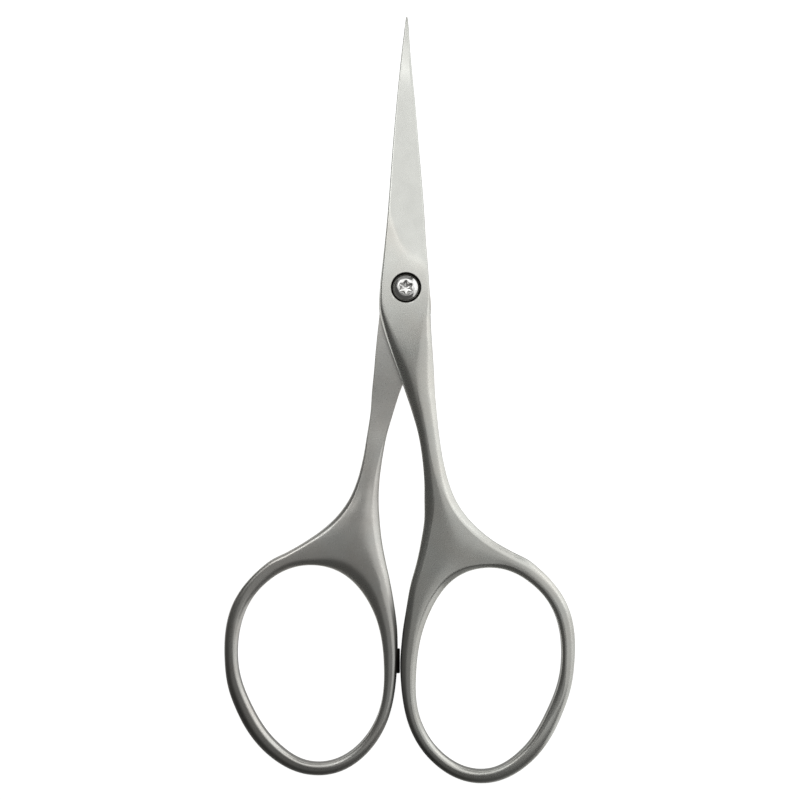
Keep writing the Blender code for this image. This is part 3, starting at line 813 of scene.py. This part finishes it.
def satin_group():
    """Forged and ground steel in one skin, each with its colour and roughness, and its painted shade.
    """
    tree = bpy.data.node_groups.new("satin_steel", "ShaderNodeTree")
    sockets(tree, "INPUT", "NodeSocketColor", "Forged Color", "Ground Color")
    sockets(tree, "INPUT", "NodeSocketFloat", "Forged Roughness", "Ground Roughness", "Ground", "Painted Shade")
    sockets(tree, "OUTPUT", "NodeSocketColor", "Color")
    sockets(tree, "OUTPUT", "NodeSocketFloat", "Roughness", "Height")
    given = add_node(tree, "NodeGroupInput").outputs
    result = add_node(tree, "NodeGroupOutput").inputs
    place = add_node(tree, "ShaderNodeTexCoord").outputs["Object"]

    blotches = noise_field(tree, place, BLOTCHES_PER_METRE, detail=3)
    grain = noise_field(tree, place, GRAINS_PER_METRE)
    lines_place = add_node(tree, "ShaderNodeMapping")
    lines_place.inputs["Scale"].default_value = LINES_PER_METRE
    tree.links.new(place, lines_place.inputs["Vector"])
    lines = noise_field(tree, lines_place.outputs["Vector"])

    tarnish = spread(tree, noise_field(tree, place, TARNISH_PER_METRE), 0, 1)
    brown = add_node(tree, "ShaderNodeVectorMath", operation="MULTIPLY")
    brown.inputs[1].default_value = TARNISH
    tree.links.new(given["Forged Color"], brown.inputs[0])
    forged = mixed(tree, tarnish, given["Forged Color"], brown.outputs["Vector"], "RGBA")
    shade = spread(tree, blotches, *SHADE_BOUNDS)
    steel = mixed(tree, given["Ground"], forged, given["Ground Color"], "RGBA")
    shaded = add_node(tree, "ShaderNodeVectorMath", operation="SCALE")
    tree.links.new(steel, shaded.inputs[0])
    tree.links.new(shade, shaded.inputs["Scale"])
    # Painted shade turns the steel near black where its mask is set
    colour = mixed(tree, given["Painted Shade"], shaded.outputs["Vector"], PAINTED_SHADE_COLOUR, "RGBA")
    tree.links.new(colour, result["Color"])

    steel_rough = mixed(tree, given["Ground"], given["Forged Roughness"], given["Ground Roughness"])
    rough = mixed(tree, given["Painted Shade"], steel_rough, PAINTED_SHADE_ROUGHNESS)
    uneven = add_node(tree, "ShaderNodeMath", operation="MULTIPLY")
    tree.links.new(rough, uneven.inputs[0])
    tree.links.new(spread(tree, grain, *ROUGHNESS_BOUNDS), uneven.inputs[1])
    tree.links.new(uneven.outputs["Value"], result["Roughness"])

    tree.links.new(mixed(tree, given["Ground"], grain, lines), result["Height"])
    return tree


patch = patch_group()
satin = satin_group()


def satin_material(name, forged, ground, roughness, shade_centre, shade_reach, inner_share):
    """Satin steel whose ground part and painted shade on the bows are the mesh's marks, with one patch
    of painted shade.
    """
    material = bpy.data.materials.new(name)
    material.use_nodes = True
    tree = material.node_tree
    shader = tree.nodes["Principled BSDF"]
    shader.inputs["Metallic"].default_value = 1
    shader.inputs["Specular Tint"].default_value = (EDGE_TINT, EDGE_TINT, EDGE_TINT, 1)
    skin = add_node(tree, "ShaderNodeGroup", node_tree=satin)
    skin.inputs["Forged Color"].default_value = (*forged, 1)
    skin.inputs["Ground Color"].default_value = (*ground, 1)
    skin.inputs["Forged Roughness"].default_value = roughness[0]
    skin.inputs["Ground Roughness"].default_value = roughness[1]
    shade_patch = add_node(tree, "ShaderNodeGroup", node_tree=patch)
    shade_patch.inputs["Centre"].default_value = shade_centre
    shade_patch.inputs["Inverse Reach"].default_value = [1 / reach if reach else 0 for reach in shade_reach]
    shade_patch.inputs["Inner Share"].default_value = inner_share
    # The scale mark and the patch both hold painted shade, and the stronger one is used
    scale = add_node(tree, "ShaderNodeAttribute", attribute_name="scale")
    shade_mask = add_node(tree, "ShaderNodeMath", operation="MAXIMUM")
    tree.links.new(shade_patch.outputs["Mask"], shade_mask.inputs[0])
    tree.links.new(scale.outputs["Fac"], shade_mask.inputs[1])
    tree.links.new(shade_mask.outputs["Value"], skin.inputs["Painted Shade"])
    mark = add_node(tree, "ShaderNodeAttribute", attribute_name="ground")
    tree.links.new(mark.outputs["Fac"], skin.inputs["Ground"])
    bump = add_node(tree, "ShaderNodeBump")
    bump.inputs["Distance"].default_value = GRAIN_HEIGHT
    tree.links.new(skin.outputs["Height"], bump.inputs["Height"])
    tree.links.new(bump.outputs["Normal"], shader.inputs["Normal"])
    tree.links.new(skin.outputs["Color"], shader.inputs["Base Color"])
    tree.links.new(skin.outputs["Roughness"], shader.inputs["Roughness"])
    return material


upper_forging = Forging(1, LEFT_SIDE, RIGHT_SIDE, 0, UPPER_SHANK_LENGTH, UPPER_SHANK_SHARES,
                        UPPER_HOLE_LENGTH)
upper_mesh = upper_forging.mesh()
upper_mesh.transform(Matrix.Translation((0, 0, upper_plane)))

# Painted shadow fills its counterbore round the head, up to the middle of the broken edge round it
UPPER_FORGED = (0.575, 0.583, 0.553)
UPPER_GROUND = (0.575, 0.58, 0.55)
UPPER_ROUGHNESS = (0.28, 0.27)
SHADOW_RING_INNER_SHARE = 0.98
sunk_radius = head_radius + HEAD_GAP
bore_radius = shoulder_radius + RUNNING_GAP
shadow_ring_radius = sunk_radius + RIM_BREAK / 2
upper_steel = satin_material("upper_satin_steel", UPPER_FORGED, UPPER_GROUND, UPPER_ROUGHNESS,
                             (0, 0, 0), (shadow_ring_radius, shadow_ring_radius, 0), SHADOW_RING_INNER_SHARE)
upper_half = add_piece("upper_half_satin", upper_mesh, upper_steel)
upper_bore = [
    (0, mating_plane - CUT_OVERRUN),
    (bore_radius, mating_plane - CUT_OVERRUN),
    (bore_radius, head_seat),
    (sunk_radius, head_seat),
    (sunk_radius, joint_top - RIM_BREAK),
    (sunk_radius + RIM_BREAK, joint_top),
    (sunk_radius + RIM_BREAK + CUT_OVERRUN, joint_top + CUT_OVERRUN),
    (0, joint_top + CUT_OVERRUN),
]
finish_shape(upper_half, [(turned(upper_bore), "DIFFERENCE")])
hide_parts("upper_half")
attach(upper_half, "upper")


# Lower half
# The half underneath, with the left-hand finger bow: the same kind of forging turned over about Y.
# The closing stop is forged on its bow, and the screw's thread goes through its joint.
SPINE_COVER = 0.00006
LOWER_SHANK_LENGTH = 0.04415
LOWER_HOLE_LENGTH = 0.02322
LOWER_SHANK_SHARES = (
    (0.101, -0.575, 0.131, 0.330),
    (0.156, -0.529, 0.182, 0.270),
    (0.209, -0.468, 0.231, 0.207),
    (0.262, -0.401, 0.280, 0.149),
    (0.318, -0.375, 0.333, 0.074),
    (0.383, -0.359, 0.396, 0.025),
    (0.446, -0.392, 0.459, -0.013),
    (0.503, -0.447, 0.517, -0.007),
    (0.548, -0.521, 0.568, 0.059),
    (0.598, -0.639, 0.615, 0.202),
    (0.647, -0.779, 0.657, 0.408),
    (0.699, -0.964, 0.696, 0.663),
)
STOP_LENGTH = 0.0029
STOP_RISE = 0.00024
STOP_DEPTH = 0.0007
STOP_ROOT = 0.0004
STOP_CLEARANCE = 0.00003
STOP_ROUND = 0.00012
STOP_ROUND_CELLS = 4
ROUND_PROFILE = 0.5
THREAD_DIAMETER = 0.0018

# Its forged and ground steel, and a patch of painted shade over the stop in the slot between the bows
LOWER_FORGED = (0.57, 0.57, 0.543)
LOWER_GROUND = (0.57, 0.575, 0.545)
LOWER_ROUGHNESS = (0.29, 0.27)
STOP_SHADE_DEPTH = 0.0006
STOP_SHADE_REACH = (0.0010, 0.0065, 0.0018)
STOP_SHADE_INNER_SHARE = 0.65

lower_forging = Forging(-1, RIGHT_SIDE, LEFT_SIDE, SPINE_COVER, LOWER_SHANK_LENGTH,
                        LOWER_SHANK_SHARES, LOWER_HOLE_LENGTH)
lower_mesh = lower_forging.mesh()
lower_mesh.transform(Matrix.Translation((0, 0, mating_plane)) @ Matrix.Rotation(math.pi, 4, "Y"))

# The stop fills the gap between the bows' flanks, where they face each other
facing_angles = range(165, 196)
lower_side = -min(lower_forging.bow_outline(angle)[0] for angle in facing_angles)
upper_side = min(upper_forging.bow_outline(angle)[0] for angle in facing_angles)
stop_start = lower_side - STOP_ROOT
stop_end = upper_side - STOP_CLEARANCE
stop_y = lower_forging.centre[1] + STOP_RISE
stop_shade_centre = (lower_side, stop_y, mating_plane - STOP_SHADE_DEPTH)
lower_steel = satin_material("lower_satin_steel", LOWER_FORGED, LOWER_GROUND, LOWER_ROUGHNESS,
                             stop_shade_centre, STOP_SHADE_REACH, STOP_SHADE_INNER_SHARE)
lower_half = add_piece("lower_half_satin", lower_mesh, lower_steel)
stop_mesh = bmesh.new()
bmesh.ops.create_cube(stop_mesh, size=1)
bmesh.ops.scale(stop_mesh, verts=stop_mesh.verts,
                vec=(stop_end - stop_start, STOP_LENGTH, STOP_DEPTH))
bmesh.ops.translate(stop_mesh, verts=stop_mesh.verts,
                    vec=((stop_start + stop_end) / 2, stop_y, mating_plane))
bmesh.ops.bevel(stop_mesh, geom=stop_mesh.edges[:], offset=STOP_ROUND, segments=STOP_ROUND_CELLS,
                profile=ROUND_PROFILE, affect="EDGES")
thread_radius = THREAD_DIAMETER / 2
tapped_radius = thread_radius + RUNNING_GAP
lower_bore = [
    (0, -CUT_OVERRUN),
    (tapped_radius + RIM_BREAK + CUT_OVERRUN, -CUT_OVERRUN),
    (tapped_radius + RIM_BREAK, 0),
    (tapped_radius, RIM_BREAK),
    (tapped_radius, mating_plane + CUT_OVERRUN),
    (0, mating_plane + CUT_OVERRUN),
]
finish_shape(lower_half, [(stop_mesh, "UNION"), (turned(lower_bore), "DIFFERENCE")])
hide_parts("lower_half")
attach(lower_half, "lower")


# Pivot screw
# Turned from bright stainless rod: a low domed head with a six-lobed recess, a shoulder that the
# upper half turns on and a thread that is screwed into the lower half until its end is flush.

# Its head, the gap under the head and the shoulder, and its end
HEAD_CROWN = 0.0001
CROWN_RADIUS = 0.00096
HEAD_CURVE = 0.00233
SEAT_GAP = 0.00002
SCREW_END_CHAMFER = 0.00015
CURVE_STEPS = 12

# The driver's recess
LOBES = 6
LOBE_STEPS = 16
RECESS_WIDTH = 0.0017
RECESS_DEPTH = 0.0006
LOBE_SHARE = 0.14
LIP_SHARE = 1.05
LIP_DEPTH = 0.00004
POINT_DEPTH = 0.0005

# Polished steel with the faint rings of its turning
TURNING_HEIGHT = 0.0000004
RINGS_PER_METRE = 16000
SPECKS_PER_METRE = 5000
POLISH_BOUNDS = (0.10, 0.20)
POLISHED_COLOURS = ((0.68, 0.675, 0.66, 1), (0.79, 0.785, 0.77, 1))

crown_level = joint_top + HEAD_CROWN
crown_drop = math.sqrt(HEAD_CURVE ** 2 - CROWN_RADIUS ** 2)
head_curve = []
for step in range(CURVE_STEPS + 1):
    radius = between(head_radius, CROWN_RADIUS, step / CURVE_STEPS)
    head_curve.append((radius, crown_level - crown_drop + math.sqrt(HEAD_CURVE ** 2 - radius ** 2)))
screw_profile = [
    (0, 0),
    (thread_radius - SCREW_END_CHAMFER, 0),
    (thread_radius, SCREW_END_CHAMFER),
    (thread_radius, mating_plane + SEAT_GAP),
    (shoulder_radius, mating_plane + SEAT_GAP),
    (shoulder_radius, head_seat + SEAT_GAP),
    (head_radius, head_seat + SEAT_GAP),
    *head_curve,
    (0, crown_level),
]


def lobed_ring(mesh, width, height):
    """The recess's outline at one height: six lobes on a circle."""
    mean = width / 2 / (1 + LOBE_SHARE)
    ring = []
    for step in range(LOBES * LOBE_STEPS):
        turn = math.tau * step / (LOBES * LOBE_STEPS)
        radius = mean * (1 - LOBE_SHARE * math.cos(LOBES * turn))
        ring.append(mesh.verts.new((radius * math.cos(turn), radius * math.sin(turn), height)))
    return ring


def recess_cutter():
    """The driver's recess: a drilled point, six straight lobes and a lip that opens outward."""
    mesh = bmesh.new()
    floor = joint_top - RECESS_DEPTH
    opening = RECESS_WIDTH * LIP_SHARE
    rings = [
        lobed_ring(mesh, RECESS_WIDTH, floor),
        lobed_ring(mesh, RECESS_WIDTH, crown_level - LIP_DEPTH),
        lobed_ring(mesh, opening, crown_level),
        lobed_ring(mesh, opening + 2 * CUT_OVERRUN, crown_level + CUT_OVERRUN),
    ]
    point = mesh.verts.new((0, 0, floor - POINT_DEPTH))
    corners = range(len(rings[0]))
    for one, two in zip(rings, rings[1:]):
        for corner in corners:
            after = (corner + 1) % len(corners)
            mesh.faces.new((one[corner], one[after], two[after], two[corner]))
    for corner in corners:
        after = (corner + 1) % len(corners)
        mesh.faces.new((rings[0][corner], point, rings[0][after]))
    mesh.faces.new(rings[-1])
    bmesh.ops.recalc_face_normals(mesh, faces=mesh.faces)
    return mesh


def polished_material():
    """Bright steel whose turning marks run in rings round the axis."""
    material = bpy.data.materials.new("polished_screw_steel")
    material.use_nodes = True
    tree = material.node_tree
    shader = tree.nodes["Principled BSDF"]
    shader.inputs["Metallic"].default_value = 1
    place = add_node(tree, "ShaderNodeTexCoord").outputs["Object"]
    apart = add_node(tree, "ShaderNodeSeparateXYZ")
    tree.links.new(place, apart.inputs["Vector"])
    flat = add_node(tree, "ShaderNodeCombineXYZ")
    tree.links.new(apart.outputs["X"], flat.inputs["X"])
    tree.links.new(apart.outputs["Y"], flat.inputs["Y"])
    radius = add_node(tree, "ShaderNodeVectorMath", operation="LENGTH")
    tree.links.new(flat.outputs["Vector"], radius.inputs[0])
    rings_place = add_node(tree, "ShaderNodeCombineXYZ")
    tree.links.new(radius.outputs["Value"], rings_place.inputs["X"])
    rings = noise_field(tree, rings_place.outputs["Vector"], RINGS_PER_METRE)
    specks = noise_field(tree, place, SPECKS_PER_METRE, detail=3)
    tree.links.new(spread(tree, specks, *POLISH_BOUNDS), shader.inputs["Roughness"])
    colour = mixed(tree, specks, *POLISHED_COLOURS, "RGBA")
    tree.links.new(colour, shader.inputs["Base Color"])
    bump = add_node(tree, "ShaderNodeBump")
    bump.inputs["Distance"].default_value = TURNING_HEIGHT
    tree.links.new(rings, bump.inputs["Height"])
    tree.links.new(bump.outputs["Normal"], shader.inputs["Normal"])
    return material


screw = add_piece("pivot_screw_polished", turned(screw_profile), polished_material())
finish_shape(screw, [(recess_cutter(), "DIFFERENCE")])
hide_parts("pivot_screw")
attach(screw, "lower")


# Table, lamps and camera
# A white table under the scissors in a dim room, and a long lens that looks straight down. A key
# softbox and dimmer cards hang overhead, with a small bright one that lights the crest lines. Two
# bright cards stand on the right, and two faint ones stand in front and behind.
MILLIMETRE = 0.001
VIEW_WIDTH = 94.24 * MILLIMETRE
VIEW_CENTRE = Vector((-0.707, -13.19, 1.7)) * MILLIMETRE
CAMERA_HEIGHT = 320 * MILLIMETRE
TABLE_SIZE = 4
TABLE_DROP = 0.02 * MILLIMETRE
TABLE_COLOUR = (0.35, 0.35, 0.35, 1)
TABLE_ROUGHNESS = 0.9
TABLE_GLOW = 0.96
WHITE = (1, 1, 1, 1)
ROOM_COLOUR = (1, 1, 0.98, 1)
ROOM_LEVEL = 0.09

# Each lamp's place and aim, its width and its height in millimetres, and its brightness. The flat
# cards aim a hair off straight down, so that their sides lie along X and Y.
LAMPS = {
    "key_softbox": ((79, 60, 100), (79, 60.1, 0), 142, 120, 1.07),
    "near_card": ((83, -40, 100), (83, -39.9, 0), 134, 80, 0.6),
    "left_card": ((-66, 65, 100), (-66, 65.1, 0), 148, 110, 0.48),
    "far_left_card": ((-20, -35, 100), (-20, -34.9, 0), 56, 90, 0.2),
    "crest_card": ((-57, 44, 100), (-57, 44.1, 0), 46, 42, 1.5),
    "joint_card": ((-18.5, 29, 45), (-18.5, 29.1, 0), 53, 62, 0.7),
    "right_card": ((100, 55, 42), (0, 55, 42), 150, 75, 1.25),
    "low_right_card": ((100, -70, 42), (0, -70, 42), 100, 75, 0.75),
    "front_card": ((150, -260, 60), (0, -13, 5), 260, 120, 0.15),
    "back_card": ((-60, 290, 100), (0, -13, 5), 400, 180, 0.2),
}

table_mesh = bmesh.new()
bmesh.ops.create_grid(table_mesh, x_segments=1, y_segments=1, size=TABLE_SIZE / 2)
bmesh.ops.translate(table_mesh, verts=table_mesh.verts, vec=(0, 0, -TABLE_DROP))
table_data = bpy.data.meshes.new("table")
table_mesh.to_mesh(table_data)
table_mesh.free()
table = bpy.data.objects.new("table", table_data)
bpy.context.collection.objects.link(table)
white = bpy.data.materials.new("white_table")
white.use_nodes = True
white_tree = white.node_tree
white_shader = white_tree.nodes["Principled BSDF"]
white_shader.inputs["Base Color"].default_value = TABLE_COLOUR
white_shader.inputs["Roughness"].default_value = TABLE_ROUGHNESS
white_shader.inputs["Specular IOR Level"].default_value = 0
white_shader.inputs["Emission Color"].default_value = WHITE

# It glows white only as seen by the camera, in the metal and through glass
ray = add_node(white_tree, "ShaderNodeLightPath")
seen = add_node(white_tree, "ShaderNodeMath", operation="MAXIMUM")
white_tree.links.new(ray.outputs["Is Camera Ray"], seen.inputs[0])
shown = add_node(white_tree, "ShaderNodeMath", operation="MAXIMUM")
white_tree.links.new(ray.outputs["Is Glossy Ray"], shown.inputs[0])
white_tree.links.new(ray.outputs["Is Transmission Ray"], shown.inputs[1])
white_tree.links.new(shown.outputs["Value"], seen.inputs[1])
glow = add_node(white_tree, "ShaderNodeMath", operation="MULTIPLY")
glow.inputs[1].default_value = TABLE_GLOW
white_tree.links.new(seen.outputs["Value"], glow.inputs[0])
white_tree.links.new(glow.outputs["Value"], white_shader.inputs["Emission Strength"])
table_data.materials.append(white)

world = bpy.data.worlds.new("room")
bpy.context.scene.world = world
world.use_nodes = True
world.node_tree.nodes["Background"].inputs["Color"].default_value = ROOM_COLOUR
world.node_tree.nodes["Background"].inputs["Strength"].default_value = ROOM_LEVEL


def softbox(name, place, aim, width, height, brightness):
    """A rectangular lamp, turned to a point, that looks white at a brightness of 1."""
    data = bpy.data.lights.new(name, "AREA")
    data.shape = "RECTANGLE"
    data.size = width * MILLIMETRE
    data.size_y = height * MILLIMETRE
    data.energy = brightness * math.pi * data.size * data.size_y
    lamp = bpy.data.objects.new(name, data)
    bpy.context.collection.objects.link(lamp)
    lamp.location = Vector(place) * MILLIMETRE
    way = (Vector(aim) - Vector(place)).normalized()
    lamp.rotation_mode = "QUATERNION"
    lamp.rotation_quaternion = way.to_track_quat("-Z", "Y")
    lamp.visible_camera = False


for name, setting in LAMPS.items():
    softbox(name, *setting)

camera_data = bpy.data.cameras.new("photo_camera")
camera = bpy.data.objects.new("photo_camera", camera_data)
bpy.context.collection.objects.link(camera)
camera_data.lens = camera_data.sensor_width * CAMERA_HEIGHT / VIEW_WIDTH
camera_data.clip_start = CAMERA_HEIGHT / 100
camera_data.clip_end = TABLE_SIZE
camera.location = VIEW_CENTRE + Vector((0, 0, CAMERA_HEIGHT))
bpy.context.scene.camera = camera

bpy.context.scene.view_settings.view_transform = "Standard"
